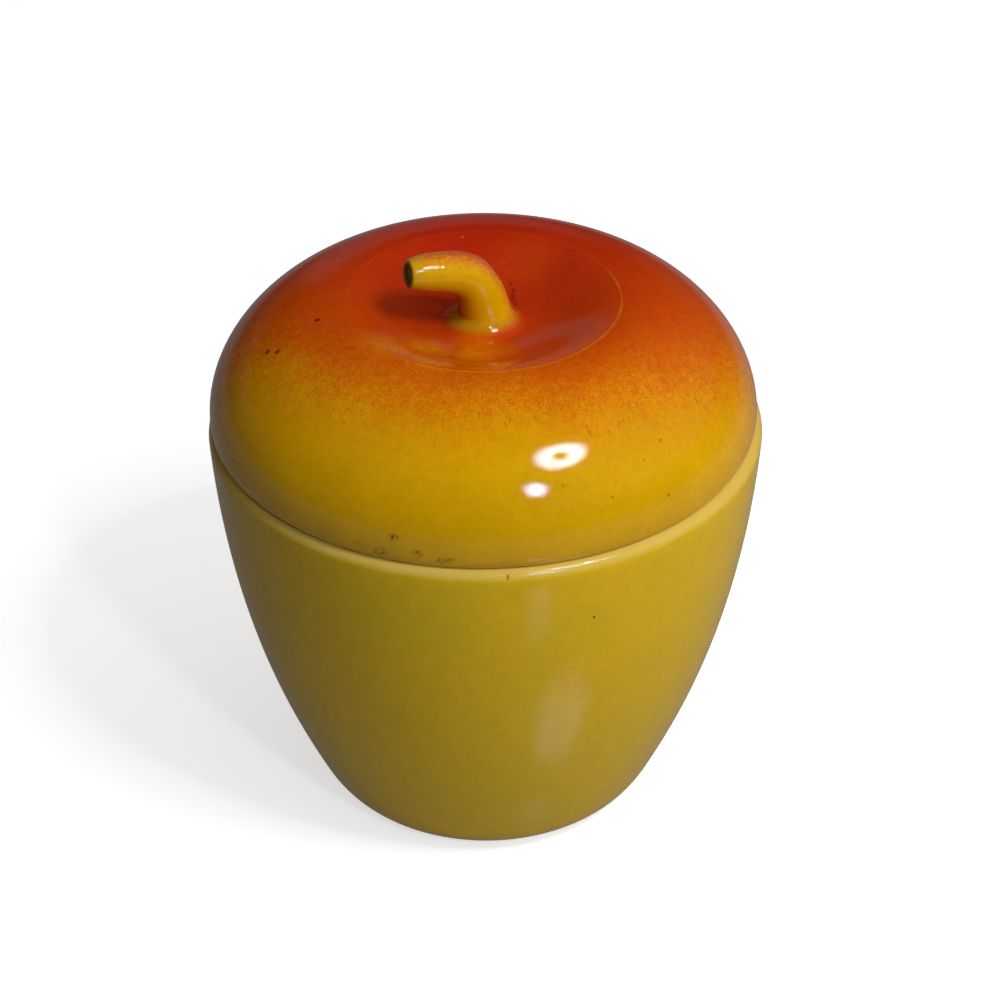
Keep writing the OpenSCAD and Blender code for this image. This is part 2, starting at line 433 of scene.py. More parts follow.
class Graph:
    """A node tree with short calls for the nodes that the finishes use."""

    def __init__(self, owner):
        owner.use_nodes = True
        self.tree = owner.node_tree
        self.tree.nodes.clear()

    def fill(self, made, inputs):
        """Each input given as a value or as another node's socket."""
        for key, value in inputs.items():
            if isinstance(value, bpy.types.NodeSocket):
                self.tree.links.new(value, made.inputs[key])
            else:
                made.inputs[key].default_value = value

    def add(self, kind, inputs=None, **settings):
        """A node with its settings and inputs."""
        made = self.tree.nodes.new(kind)
        for key, value in settings.items():
            setattr(made, key, value)
        self.fill(made, inputs or {})
        return made

    def math(self, operation, *values, clamp=False):
        inputs = dict(enumerate(values))
        return self.add("ShaderNodeMath", inputs, operation=operation, use_clamp=clamp).outputs[0]

    def folded(self, operation, values):
        """One operation on two or more values in turn."""
        found = values[0]
        for value in values[1:]:
            found = self.math(operation, found, value)
        return found

    def plus(self, *values):
        return self.folded("ADD", values)

    def minus(self, a, b):
        return self.math("SUBTRACT", a, b)

    def times(self, *values):
        return self.folded("MULTIPLY", values)

    def most(self, *values):
        return self.folded("MAXIMUM", values)

    def vector(self, operation, *values, output=0):
        made = self.add("ShaderNodeVectorMath", dict(enumerate(values)), operation=operation)
        return made.outputs[output]

    def dot(self, a, b):
        return self.vector("DOT_PRODUCT", a, b, output="Value")

    def distance(self, a, b):
        return self.vector("DISTANCE", a, b, output="Value")

    def length(self, a):
        return self.vector("LENGTH", a, output="Value")

    def flat(self, place):
        """The place brought down to height 0."""
        return self.vector("MULTIPLY", place, (1, 1, 0))

    def split(self, place):
        """The place's x, y and z."""
        return self.add("ShaderNodeSeparateXYZ", {"Vector": place}).outputs

    def place(self):
        """The place on the object, which moves with it."""
        return self.add("ShaderNodeTexCoord").outputs["Object"]

    def facing(self):
        """The way that the surface faces, on the object."""
        return self.add("ShaderNodeTexCoord").outputs["Normal"]

    def noise(self, place, size, detail=2.0, rough=0.5):
        """Noise from 0 to 1, with features about size across."""
        inputs = {"Vector": place, "Scale": 1 / size, "Detail": detail, "Roughness": rough}
        return self.add("ShaderNodeTexNoise", inputs).outputs["Fac"]

    def swing(self, place, amount, *noise):
        """A noise on either side of 0, by up to half of amount."""
        return self.times(self.minus(self.noise(place, *noise), 0.5), amount)

    def varied(self, place, low, high, *noise):
        """A value from low to high that varies with a noise."""
        return self.linear(self.noise(place, *noise), NOISE_LOW, NOISE_HIGH, low, high)

    def linear(self, value, low, high, to_low=0.0, to_high=1.0, kind="LINEAR"):
        """The value brought from the range low to high into another range."""
        inputs = {"Value": value, "From Min": low, "From Max": high}
        inputs |= {"To Min": to_low, "To Max": to_high}
        return self.add("ShaderNodeMapRange", inputs, interpolation_type=kind).outputs[0]

    def steps(self, value, low, high, to_low=0.0, to_high=1.0):
        """A smooth step of value from low to high."""
        return self.linear(value, low, high, to_low, to_high, "SMOOTHSTEP")

    def near(self, value, middle, inner, outer, inside=1.0, outside=0.0):
        """One level within inner of a middle value, and another past outer."""
        off = self.math("ABSOLUTE", self.minus(value, middle))
        return self.steps(off, inner, outer, inside, outside)

    def ramp(self, value, stops):
        """A colour from a value, by stops of (place, colour)."""
        made = self.add("ShaderNodeValToRGB", {"Fac": value})
        elements = made.color_ramp.elements
        while len(elements) < len(stops):
            elements.new(0.5)
        for element, (place, colour) in zip(elements, stops):
            element.position = place
            element.color = (*colour, 1)
        return made.outputs["Color"]

    def mix(self, share, a, b, blend="MIX"):
        """Colour a towards colour b."""
        made = self.add("ShaderNodeMix", {0: share}, data_type="RGBA", blend_type=blend)
        for key, colour in ((6, a), (7, b)):
            plain = not isinstance(colour, bpy.types.NodeSocket)
            self.fill(made, {key: (*colour, 1) if plain else colour})
        return made.outputs[2]

    def grey(self, level):
        """A level in all three channels."""
        channels = dict.fromkeys(range(3), level)
        return self.add("ShaderNodeCombineColor", channels).outputs[0]

    def bump(self, height, distance, strength=1.0, normal=None):
        inputs = {"Height": height, "Distance": distance, "Strength": strength}
        if normal:
            inputs["Normal"] = normal
        return self.add("ShaderNodeBump", inputs).outputs["Normal"]


def spot(g, place, centre, radii, edge=0.5):
    """1 inside an ellipsoid about centre and 0 outside, with a soft edge as a share of its size."""
    offset = g.vector("SUBTRACT", place, centre)
    reach = g.length(g.vector("DIVIDE", offset, radii))
    return g.steps(reach, 1 - edge, 1, 1, 0)


# A stroke fades from one to the other of these shares of its width
STROKE_CORE = 0.25
STROKE_EDGE = 0.6


def stroke(g, place, start, end, width):
    """1 on a thin line between two places and 0 beside it."""
    along = Vector(end) - Vector(start)
    offset = g.vector("SUBTRACT", place, start)
    share = g.math("DIVIDE", g.dot(offset, along), along.length_squared, clamp=True)
    shares = g.add("ShaderNodeCombineXYZ", dict.fromkeys(range(3), share)).outputs[0]
    away = g.distance(offset, g.vector("MULTIPLY", shares, along))
    return g.steps(away, STROKE_CORE * width, STROKE_EDGE * width, 1, 0)


# The smallest speck, and the soft edge of each, as shares of the largest one's radius
SMALLEST_SPECK = 0.35
SPECK_EDGE = 0.25


def specks(g, place, spacing, chance, radius):
    """Small round specks, one in a few cells of a grid that is spacing wide."""
    inputs = {"Vector": place, "Scale": 1 / spacing, "Randomness": 1.0}
    cells = g.add("ShaderNodeTexVoronoi", inputs)
    pick = g.add("ShaderNodeSeparateColor", {"Color": cells.outputs["Color"]})
    chosen = g.math("LESS_THAN", pick.outputs[0], chance)
    largest = radius / spacing
    size = g.linear(pick.outputs[1], 0, 1, SMALLEST_SPECK * largest, largest)
    inside = g.linear(g.minus(size, cells.outputs["Distance"]), 0, SPECK_EDGE * largest)
    return g.times(chosen, inside)


def centred(g, place, x, z):
    """The place measured from a vertical axis at x, and from height z."""
    return g.vector("SUBTRACT", place, (x, 0, z))


def down_slope(g, place, stretch):
    """A place for noise that is drawn out down the slope.

    It lies on a drum about the axis, with the height pressed together.
    """
    flat = g.flat(place)
    drum = g.vector("SCALE", g.vector("NORMALIZE", flat))
    drum.node.inputs["Scale"].default_value = LID_R
    run = g.times(g.minus(g.split(place)["Z"], g.length(flat)), 1 / stretch)
    lifted = g.add("ShaderNodeCombineXYZ", {"Z": run}).outputs[0]
    return g.vector("ADD", drum, lifted)


# The part of a noise that makes a colour lighter or darker
TONE_LOW = 0.25
TONE_HIGH = 0.75


def toned(g, colour, place, tones):
    """The colour made lighter and darker by noises, each with its size, detail and amount."""
    for size, detail, amount in tones:
        found = g.noise(place, size, detail)
        light = g.linear(found, TONE_LOW, TONE_HIGH, 1 - amount, 1 + amount)
        colour = g.mix(1.0, colour, g.grey(light), "MULTIPLY")
    return colour


def glaze(name, finish, specular):
    """A glazed surface. finish gives its colour, roughness and normal by graph and place."""
    made = bpy.data.materials.new(name)
    g = Graph(made)
    colour, rough, normal = finish(g, g.place())
    inputs = {"Base Color": colour, "Roughness": rough, "Normal": normal}
    inputs["Specular IOR Level"] = specular
    shader = g.add("ShaderNodeBsdfPrincipled", inputs)
    g.add("ShaderNodeOutputMaterial", {"Surface": shader.outputs[0]})
    return made


# Colours of the glaze, as linear values
DEEP_RED = (0.50, 0.020, 0.002)
CRIMSON = (0.54, 0.036, 0.002)
RED = (0.58, 0.050, 0.002)
SCARLET = (0.62, 0.070, 0.001)
VERMILION = (0.65, 0.100, 0.001)
ORANGE = (0.70, 0.165, 0.001)
AMBER = (0.73, 0.25, 0.001)
GOLD = (0.745, 0.315, 0.001)
YELLOW = (0.745, 0.372, 0.001)
DULL_YELLOW = (0.66, 0.345, 0.001)
MUSTARD = (0.79, 0.46, 0.003)
DULL_MUSTARD = (0.75, 0.46, 0.004)
PALE_MUSTARD = (0.74, 0.51, 0.11)
OLIVE = (0.50, 0.33, 0.006)
# painted shade, for the left of the stalk's foot
SHADE_OLIVE = (0.28, 0.15, 0.008)
CREAM = (0.78, 0.62, 0.30)
DIRT = (0.12, 0.09, 0.2)
CLOT = (0.24, 0.004, 0.004)
BISCUIT = (0.72, 0.62, 0.46)
BLUSH_ORANGE = (0.74, 0.27, 0.006)
BLUSH_RED = (0.62, 0.11, 0.025)
SPECK_BROWN = (0.16, 0.07, 0.002)
CUT_BROWN = (0.26, 0.15, 0.015)
# painted shade, for the underside of the stalk's bend
CROOK_SHADE_BROWN = (0.30, 0.07, 0.003)
RUN_BROWN = (0.42, 0.075, 0.001)

# In the tables below, a noise is its size, its detail and, where it isn't 0.5, its roughness.
# A range is its two ends, a varied value is its two ends and then its noise, and fine specks are
# their spacing, their chance and the largest one's radius.

# The sprayed red: its middle, from the lid's axis at the rim's height
SPRAY = (1 * MM, 22.7 * MM, 28.3 * MM)

# The spray's colour by distance from that middle
SPRAY_REACH = 76 * MM
SPRAY_STOPS = [
    (10 * MM, DEEP_RED),
    (25 * MM, CRIMSON),
    (33 * MM, RED),
    (41 * MM, SCARLET),
    (47 * MM, VERMILION),
    (53 * MM, ORANGE),
    (57 * MM, AMBER),
    (60 * MM, GOLD),
    (65 * MM, YELLOW),
    (74 * MM, DULL_YELLOW),
]

# What breaks the spray up: slow drifts, and grain, clots and runs that are strongest in one band
DRIFT_NOISE = (14 * MM, 3)
DRIFT = 8 * MM
GRAIN_NOISE = (0.34 * MM, 2, 0.7)
GRAIN = 1.3
CLOT_NOISE = (1.5 * MM, 2, 0.6)
CLOTS = 0.5
RUN_NOISE = (0.35 * MM, 1)
RUN_STRETCH = 4
RUN_RADII = (22 * MM, 40 * MM)
RUNS = 0.3
SCATTER = 23 * MM
SCATTER_AT = 49 * MM
SCATTER_CORE = 4 * MM
SCATTER_EDGE = 14 * MM
SCATTER_ELSEWHERE = 0.25

# Dark dots where the spray is thick, and long runs at its end
DOTS = (1.7 * MM, 0.22, 0.32 * MM)
DOT_STRENGTH = 0.45
THICK_RANGE = (30 * MM, 50 * MM)
LONG_RUN_NOISE = (0.36 * MM, 1)
LONG_RUN_STRETCH = 9
LONG_RUN_RANGE = (0.66, 0.73)
LONG_RUN_STRENGTH = 0.7
SPRAY_END = 57 * MM
END_CORE = 1 * MM
END_EDGE = 6 * MM


def sprayed(g, place, extra):
    """The lid's colour: a red spray that breaks up into specks and short runs over the yellow."""
    far = g.distance(place, SPRAY)
    grain = g.swing(place, GRAIN, *GRAIN_NOISE)
    clots = g.swing(place, CLOTS, *CLOT_NOISE)
    sloping = g.steps(g.length(g.flat(place)), *RUN_RADII, 0, RUNS)
    runs = g.swing(down_slope(g, place, RUN_STRETCH), sloping, *RUN_NOISE)
    band = g.near(far, SCATTER_AT, SCATTER_CORE, SCATTER_EDGE, 1, SCATTER_ELSEWHERE)
    scatter = g.times(g.plus(grain, clots, runs), band, SCATTER)
    far = g.plus(far, scatter, g.swing(place, DRIFT, *DRIFT_NOISE), extra)
    stops = [(distance / SPRAY_REACH, colour) for distance, colour in SPRAY_STOPS]
    colour = g.ramp(g.math("DIVIDE", far, SPRAY_REACH), stops)
    thick = g.steps(far, *THICK_RANGE, 1, 0)
    dots = g.times(specks(g, place, *DOTS), g.times(thick, DOT_STRENGTH))
    colour = g.mix(dots, colour, CLOT)
    long_runs = g.noise(down_slope(g, place, LONG_RUN_STRETCH), *LONG_RUN_NOISE)
    long_runs = g.steps(long_runs, *LONG_RUN_RANGE)
    ends = g.near(far, SPRAY_END, END_CORE, END_EDGE, LONG_RUN_STRENGTH)
    return g.mix(g.times(long_runs, ends), colour, RUN_BROWN)


# Thinner spray, where the yellow shows: angle from the front, radius and height above the rim
# in mm, and reach and amount in mm
THIN_SPRAY = [
    (-48, 20, 21.6, 8, 11),
    (-24, 19, 21.2, 8, 10),
    (-40, 14, 19.6, 8, 17.5),
    (-8, 12, 19, 8, 16),
    (-12, 7.5, 18.4, 6.5, 18),
    (-63, 39, 17, 14, 3.5),
    (158, 17.4, 21, 10, 15),
]
THIN_EDGE = 0.8
THIN_VARIED = (0.8, 1.2, 2 * MM, 4, 0.65)

# Marks on the lid, by angle, radius and height as above. The specks also have a size and strength.
LID_SPECKS = [
    (-77.4, 28.4, 22.4, 0.62, 0.85),
    (-74.5, 37.4, 18.5, 0.65, 0.85),
    (-71.8, 36.1, 19.3, 0.6, 0.8),
    (-62.2, 47.1, 4.6, 0.45, 0.8),
    (43.0, 42.2, 14.2, 0.32, 0.6),
    (40.2, 46.5, 6.6, 0.36, 0.6),
    (27.1, 45.4, 9.5, 0.3, 0.5),
    (36.9, 43.3, 12.9, 0.3, 0.5),
    (17.0, 43.5, 12.6, 0.4, 0.3),
]
DARK_DABS = [(156.6, 12.1, 19.0), (150.9, 11.0, 18.8)]
DARK_RUNS = [(150.9, 11.0, 18.8), (146.3, 9.3, 18.5), (134.0, 7.6, 18.3), (117.3, 6.5, 18.3)]
SCRATCHES = [
    ((162.5, 25.9, 22.7), (157.4, 24.3, 22.8)),
    ((140.9, 21.8, 22.5), (126.9, 25.4, 22.8)),
]
PALE_DOTS = [(-170.8, 21.9, 22.5), (-125.4, 29.7, 22.1), (-120.0, 29.0, 22.3)]
CLOTTED = (110, 14, 19.6)

# How those marks look
LID_FINE_SPECKS = (3.4 * MM, 0.04, 0.2 * MM)
LID_FINE_STRENGTH = 0.6
RAGGED_NOISE = (0.45 * MM, 2, 0.7)
DARK_RUN_W = 1 * MM
DARK_RUN_RANGE = (0.4, 0.56)
DARK_DAB_RADII = (0.3 * MM, 0.6 * MM, 0.5 * MM)
CLOTTED_REACH = 11
CLOTTED_EDGE = 0.7
CLOTTED_NOISE = (0.9 * MM, 2, 0.6)
CLOTTED_RANGE = (0.56, 0.7)
CLOTTED_STRENGTH = 0.55
SCRATCH_W = 0.35 * MM
SCRATCH_RANGE = (0.35, 0.6)
SCRATCH_STRENGTH = 0.6
PALE_DOT_R = 0.35
DARK_SHARE = 0.7
PALE_SHARE = 0.35

# Dirt at the lid's lower edge: patches by angle, height and size, and a line by two angles
# and its height
DIRT_PATCH_R = 47.2
DIRT_PATCHES = [
    (-17.9, 4.9, 1.6),
    (-20.6, 1.8, 1.7),
    (-13.0, 2.6, 1.4),
    (-8.2, 1.6, 1.5),
    (-6.5, 1.9, 1.1),
]
PATCH_FLATNESS = 0.7
PATCH_EDGE = 0.6
PATCH_STRENGTH = 0.85
DIRT_LINE_R = 47.3
DIRT_LINE = (-26.4, -21.6, 2.3)
DIRT_LINE_W = 0.5 * MM
DIRT_LINE_STRENGTH = 0.6
DUST_NOISE = (0.4 * MM, 2, 0.7)
DUST_RANGE = (0.46, 0.64)


def from_front(azimuth, radius, height):
    """A place from an angle and two lengths in mm."""
    return at_azimuth(azimuth, radius * MM, height * MM)


def ball(g, place, centre, radius, edge=0.5):
    """A round spot about a place given by an angle and two lengths in mm."""
    return spot(g, place, from_front(*centre), (radius * MM,) * 3, edge)


def thin_spray(g, place):
    """How much thinner the spray is where the yellow shows."""
    thinner = 0.0
    for *centre, reach, amount in THIN_SPRAY:
        area = ball(g, place, centre, reach, THIN_EDGE)
        thinner = g.most(thinner, g.times(area, amount * MM))
    return g.times(thinner, g.varied(place, *THIN_VARIED))


def lid_marks(g, place):
    """Dark specks in the glaze, and dirt caught at the lid's lower edge."""
    marks = g.times(specks(g, place, *LID_FINE_SPECKS), LID_FINE_STRENGTH)
    for *centre, size, strength in LID_SPECKS:
        marks = g.most(marks, g.times(ball(g, place, centre, size), strength))
    dust = g.steps(g.noise(place, *DUST_NOISE), *DUST_RANGE)
    for azimuth, height, size in DIRT_PATCHES:
        centre = from_front(azimuth, DIRT_PATCH_R, height)
        radii = (size * MM, size * MM, PATCH_FLATNESS * size * MM)
        area = spot(g, place, centre, radii, PATCH_EDGE)
        marks = g.most(marks, g.times(area, dust, PATCH_STRENGTH))
    first, last, height = DIRT_LINE
    ends = [from_front(azimuth, DIRT_LINE_R, height) for azimuth in (first, last)]
    line = stroke(g, place, *ends, DIRT_LINE_W)
    return g.most(marks, g.times(line, dust, DIRT_LINE_STRENGTH))


def lid_runs(g, place):
    """Dark: the run and dabs by the stalk, the clots and the scratches. Pale: the crown's dots."""
    ragged = g.noise(place, *RAGGED_NOISE)
    dark = 0.0
    for start, end in zip(DARK_RUNS[:-1], DARK_RUNS[1:]):
        line = stroke(g, place, from_front(*start), from_front(*end), DARK_RUN_W)
        dark = g.most(dark, line)
    dark = g.times(dark, g.steps(ragged, *DARK_RUN_RANGE))
    for centre in DARK_DABS:
        dark = g.most(dark, spot(g, place, from_front(*centre), DARK_DAB_RADII))
    clots = g.steps(g.noise(place, *CLOTTED_NOISE), *CLOTTED_RANGE)
    area = ball(g, place, CLOTTED, CLOTTED_REACH, CLOTTED_EDGE)
    dark = g.most(dark, g.times(area, clots, CLOTTED_STRENGTH))
    for start, end in SCRATCHES:
        line = stroke(g, place, from_front(*start), from_front(*end), SCRATCH_W)
        broken = g.linear(ragged, *SCRATCH_RANGE, 0, SCRATCH_STRENGTH)
        dark = g.most(dark, g.times(line, broken))
    pale = 0.0
    for centre in PALE_DOTS:
        pale = g.most(pale, ball(g, place, centre, PALE_DOT_R))
    return dark, pale


# Painted highlight along the mould ring, which shows from a height on and more towards its clearest
# side
RING_HIGHLIGHT_CORE = 0.08 * MM
RING_HIGHLIGHT_EDGE = 0.4 * MM
RING_HIGHLIGHT_VARIED = (0.15, 0.75, 2.2 * MM, 2)
RING_HIGHLIGHT_HEIGHTS = (19 * MM, 20 * MM)
RING_HIGHLIGHT_TOWARDS = (-6 * MM, 18 * MM)
RING_HIGHLIGHT_BEHIND = 0.12
RING_HIGHLIGHT_GOLD = 0.55

# Painted shade just inside it, which shows at the front
RING_SHADE_INSIDE = 0.6 * MM
RING_SHADE_CORE = 0.05 * MM
RING_SHADE_EDGE = 0.3 * MM
RING_SHADE_Y = (-22 * MM, -12 * MM)
RING_SHADE_STRENGTH = 0.45


def ring_highlight_and_shade(g, place, height):
    """Painted highlight along the mould ring, and painted shade just inside it."""
    radius = g.length(g.flat(place))
    towards_clear = g.dot(place, at_azimuth(RING_CLEAR_AZIMUTH, 1, 0))
    pale = g.times(
        g.near(radius, RING_R, RING_HIGHLIGHT_CORE, RING_HIGHLIGHT_EDGE),
        g.varied(place, *RING_HIGHLIGHT_VARIED),
        g.steps(height, *RING_HIGHLIGHT_HEIGHTS),
        g.steps(towards_clear, *RING_HIGHLIGHT_TOWARDS, RING_HIGHLIGHT_BEHIND, 1),
    )
    dark = g.near(radius, RING_R - RING_SHADE_INSIDE, RING_SHADE_CORE, RING_SHADE_EDGE)
    dark = g.times(dark, g.steps(g.split(place)["Y"], *RING_SHADE_Y, RING_SHADE_STRENGTH, 0))
    return pale, dark


# The lid's inside: a height within it from which every outer face is turned away, how far along
# that way a face counts as outside, and the heights by which its flange starts
LID_MIDDLE_H = 5 * MM
OUTSIDE_RANGE = (-0.5 * MM, 0.5 * MM)
FLANGE_HEIGHTS = (-0.4 * MM, 0.1 * MM)


def lid_inside(g, place, height):
    """1 on the flange and in the hollow, and 0 outside."""
    from_middle = g.vector("SUBTRACT", place, (0, 0, LID_MIDDLE_H))
    hollow = g.steps(g.dot(g.facing(), from_middle), *OUTSIDE_RANGE, 1, 0)
    return g.most(g.steps(height, *FLANGE_HEIGHTS, 1, 0), hollow)


# The fine unevenness that breaks up the highlights of the lid and the stalk
PEEL_NOISE = (0.22 * MM, 1)
PEEL = 0.011 * MM

# The lid's tones and roughness, and its pits where it has marks
LID_TONES = [(9 * MM, 3, 0.05), (1.25 * MM, 2, 0.05), (0.4 * MM, 2, 0.05)]
LID_ROUGH = (0.015, 0.03, 5 * MM, 4)
LID_PIT = 0.05 * MM
PIT_STRENGTH = 0.6


def lid_finish(g, place):
    """Red spray over yellow, painted highlight and painted shade along the ring, tones, marks, and
    the cream inside.
    """
    place = centred(g, place, LID_X, RIM_Z)
    height = g.split(place)["Z"]
    colour = sprayed(g, place, thin_spray(g, place))
    ring_highlight, ring_shade = ring_highlight_and_shade(g, place, height)
    # Painted shade just inside the ring, then painted highlight on it
    colour = g.mix(ring_shade, colour, DEEP_RED)
    colour = g.mix(ring_highlight, colour, g.mix(RING_HIGHLIGHT_GOLD, colour, GOLD))
    colour = toned(g, colour, place, LID_TONES)
    dark, pale = lid_runs(g, place)
    colour = g.mix(g.times(dark, DARK_SHARE), colour, CLOT)
    colour = g.mix(g.times(pale, PALE_SHARE), colour, GOLD)
    colour = g.mix(lid_inside(g, place, height), colour, CREAM)
    marks = lid_marks(g, place)
    colour = g.mix(marks, colour, DIRT, "MULTIPLY")
    peel = g.bump(g.noise(place, *PEEL_NOISE), PEEL)
    pits = g.bump(g.minus(1.0, marks), LID_PIT, PIT_STRENGTH, peel)
    return colour, g.varied(place, *LID_ROUGH), pits


# Marks on the pot, by angle from the front, radius and height above the table in mm
POT_SPECK = (21.8, 47.3, 63.2)
POT_SPECK_R = 0.34
POT_FINE_SPECKS = (6 * MM, 0.06, 0.2 * MM)
CHIP_MARK = (CHIP_AZIMUTH, 47.75, 74.1)
CHIP_MARK_RADII = (0.4 * MM, 0.6 * MM, 0.75 * MM)
CHIP_MARK_EDGE = 0.6
CHIP_MARK_STRENGTH = 0.6

# The pot's duller patches, faint streaks and tones
DULL_NOISE = (16 * MM, 3)
DULL_RANGE = (0.35, 0.7)
STREAK_STRETCH = 6
STREAK_NOISE = (1.1 * MM, 3, 0.6)
STREAK_RANGE = (0.2, 0.8)
STREAK_LEVELS = (0.98, 1.02)
POT_TONES = [(2.2 * MM, 3, 0.04), (0.5 * MM, 2, 0.04)]

# The paler rim and the bare standing face: heights, how far they waver, and the size of that
PALE_RIM_HEIGHTS = (RIM_Z - 1.9 * MM, RIM_Z - 0.8 * MM)
PALE_RIM_WAVER = (0.6 * MM, 2.5 * MM)
PALE_RIM = 0.8
BARE_HEIGHTS = (0.3 * MM, 0.5 * MM)
BARE_WAVER = (0.4 * MM, 2 * MM)
BARE_ROUGH = 0.8

# The pot's roughness and the bumps of its glaze, with what multiplies them at wall and rim
POT_ROUGH = (0.16, 0.24, 3 * MM, 4)
GLOSSY_HEIGHTS = (RIM_Z - 2.5 * MM, RIM_Z - 1 * MM)
ROUGH_TIMES = (0.9, 0.4)
POT_GRAIN_NOISE = (0.42 * MM, 2)
POT_GRAIN = 0.022 * MM
GRAIN_TIMES = (1, 2)
STREAK_BUMP = 0.008 * MM
POT_PIT = 0.1 * MM


def pot_marks(g, place):
    """Fine specks, the chip and one larger speck."""
    chip = spot(g, place, from_front(*CHIP_MARK), CHIP_MARK_RADII, CHIP_MARK_EDGE)
    chip = g.times(chip, CHIP_MARK_STRENGTH)
    speck = ball(g, place, POT_SPECK, POT_SPECK_R)
    return g.most(specks(g, place, *POT_FINE_SPECKS), chip, speck)


def pot_finish(g, place):
    """Mustard glaze with faint streaks and tones, paler on the rim, and bare under the foot."""
    height = g.split(place)["Z"]
    dull = g.steps(g.noise(place, *DULL_NOISE), *DULL_RANGE)
    colour = g.mix(dull, MUSTARD, DULL_MUSTARD)
    streaks = g.noise(down_slope(g, place, STREAK_STRETCH), *STREAK_NOISE)
    shade = g.linear(streaks, *STREAK_RANGE, *STREAK_LEVELS)
    colour = g.mix(1.0, colour, g.grey(shade), "MULTIPLY")
    colour = toned(g, colour, place, POT_TONES)
    wavering = g.plus(height, g.swing(place, *PALE_RIM_WAVER))
    colour = g.mix(g.steps(wavering, *PALE_RIM_HEIGHTS, 0, PALE_RIM), colour, PALE_MUSTARD)
    marks = pot_marks(g, place)
    colour = g.mix(marks, colour, SPECK_BROWN)
    wavering = g.plus(height, g.swing(place, *BARE_WAVER))
    bare = g.steps(wavering, *BARE_HEIGHTS, 1, 0)
    colour = g.mix(bare, colour, BISCUIT)
    rough = g.times(g.varied(place, *POT_ROUGH), g.steps(height, *GLOSSY_HEIGHTS, *ROUGH_TIMES))
    rough = g.most(rough, g.times(bare, BARE_ROUGH))
    wavy = g.bump(streaks, STREAK_BUMP)
    coarser = g.steps(height, *GLOSSY_HEIGHTS, *GRAIN_TIMES)
    grain = g.times(g.noise(place, *POT_GRAIN_NOISE), coarser)
    grain = g.bump(grain, POT_GRAIN, 1.0, wavy)
    pits = g.bump(g.minus(1.0, marks), POT_PIT, PIT_STRENGTH, grain)
    return colour, rough, pits


# The stalk's grain and runs, whose noise is drawn out by pressing the height together
STALK_GRAIN_NOISE = (0.4 * MM, 2, 0.7)
STALK_RUN_NOISE = (0.5 * MM, 2)
STALK_RUN_PRESS = (1, 1, 0.3)

# The sprayed blush at its back: the way it faces, its grain and runs, its range and its colours
BLUSH_WAY = (0.52, 0.46, 0.72)
BLUSH_GRAIN = 0.9
BLUSH_RUNS = 0.7
BLUSH_RANGE = (0.26, 0.92)
BLUSH_STOPS = [(0, YELLOW), (0.45, BLUSH_ORANGE), (1, BLUSH_RED)]

# Olive at its foot and its tip, and painted shade in dark olive at the left of the foot
FOOT_OLIVE_HEIGHTS = (0.8 * MM, 4 * MM)
FOOT_OLIVE = 0.55
TIP_OLIVE_REACH = (2.4 * MM, 4.2 * MM)
TIP_OLIVE = 0.35
FOOT_PAINTED_SHADE_X = (-2 * MM, -6 * MM)
FOOT_PAINTED_SHADE_HEIGHTS = (1.5 * MM, 4 * MM)
FOOT_PAINTED_SHADE = 0.6

# Painted shade in brown under its bend, on faces turned down and away from the light: the way they
# face, and how far from the tip it starts
CROOK_SHADE_WAY = (-0.8, -0.05, -0.6)
CROOK_SHADE_RANGE = (0.3, 0.95)
CROOK_SHADE_FROM_TIP = (4 * MM, 8 * MM)
CROOK_SHADE = 0.75

# Where the lid's spray starts round its foot: the radius, which is larger at the back and uneven
EDGE_RADII = (4.5 * MM, 6.9 * MM)
EDGE_AT_BACK = 0.12
EDGE_UNEVEN = 1 * MM
EDGE_HEIGHTS = (2 * MM, 3 * MM)

# The brown cut end: how far along the stalk and how wide, and its roughness
CUT_ALONG = (-0.35 * MM, -0.1 * MM)
CUT_RADII = (1.95 * MM, 2.25 * MM)
CUT_ROUGH = 0.7

# The stalk's tones, roughness and swells
STALK_TONES = [(2 * MM, 3, 0.06)]
STALK_ROUGH = (0.02, 0.05, 2 * MM, 3)
SWELL_NOISE = (1.6 * MM, 3)
SWELL = 0.03 * MM


def stalk_foot_shade_and_spray(g, middle, uneven_by):
    """Where painted shade darkens the left of the foot, and where the lid's spray starts round it.
    """
    x, y, height = g.split(middle)
    shaded = g.steps(x, *FOOT_PAINTED_SHADE_X, 0, FOOT_PAINTED_SHADE)
    shaded = g.times(shaded, g.steps(height, *FOOT_PAINTED_SHADE_HEIGHTS, 1, 0))
    edge = g.minus(g.length(g.flat(middle)), g.times(y, EDGE_AT_BACK))
    edge = g.plus(edge, g.times(uneven_by, EDGE_UNEVEN))
    outside = g.times(g.steps(edge, *EDGE_RADII), g.steps(height, *EDGE_HEIGHTS, 1, 0))
    return shaded, outside


def stalk_tip():
    """The middle of the stalk's end, and the way that it points."""
    turn, rise = math.radians(STALK_TURN), math.radians(STALK_END_RISE)
    level_way = Vector((-math.cos(turn), -math.sin(turn), 0))
    tip = level_way * STALK_REACH + Vector((0, 0, STALK_RISE))
    return tip, level_way * math.cos(rise) + Vector((0, 0, math.sin(rise)))


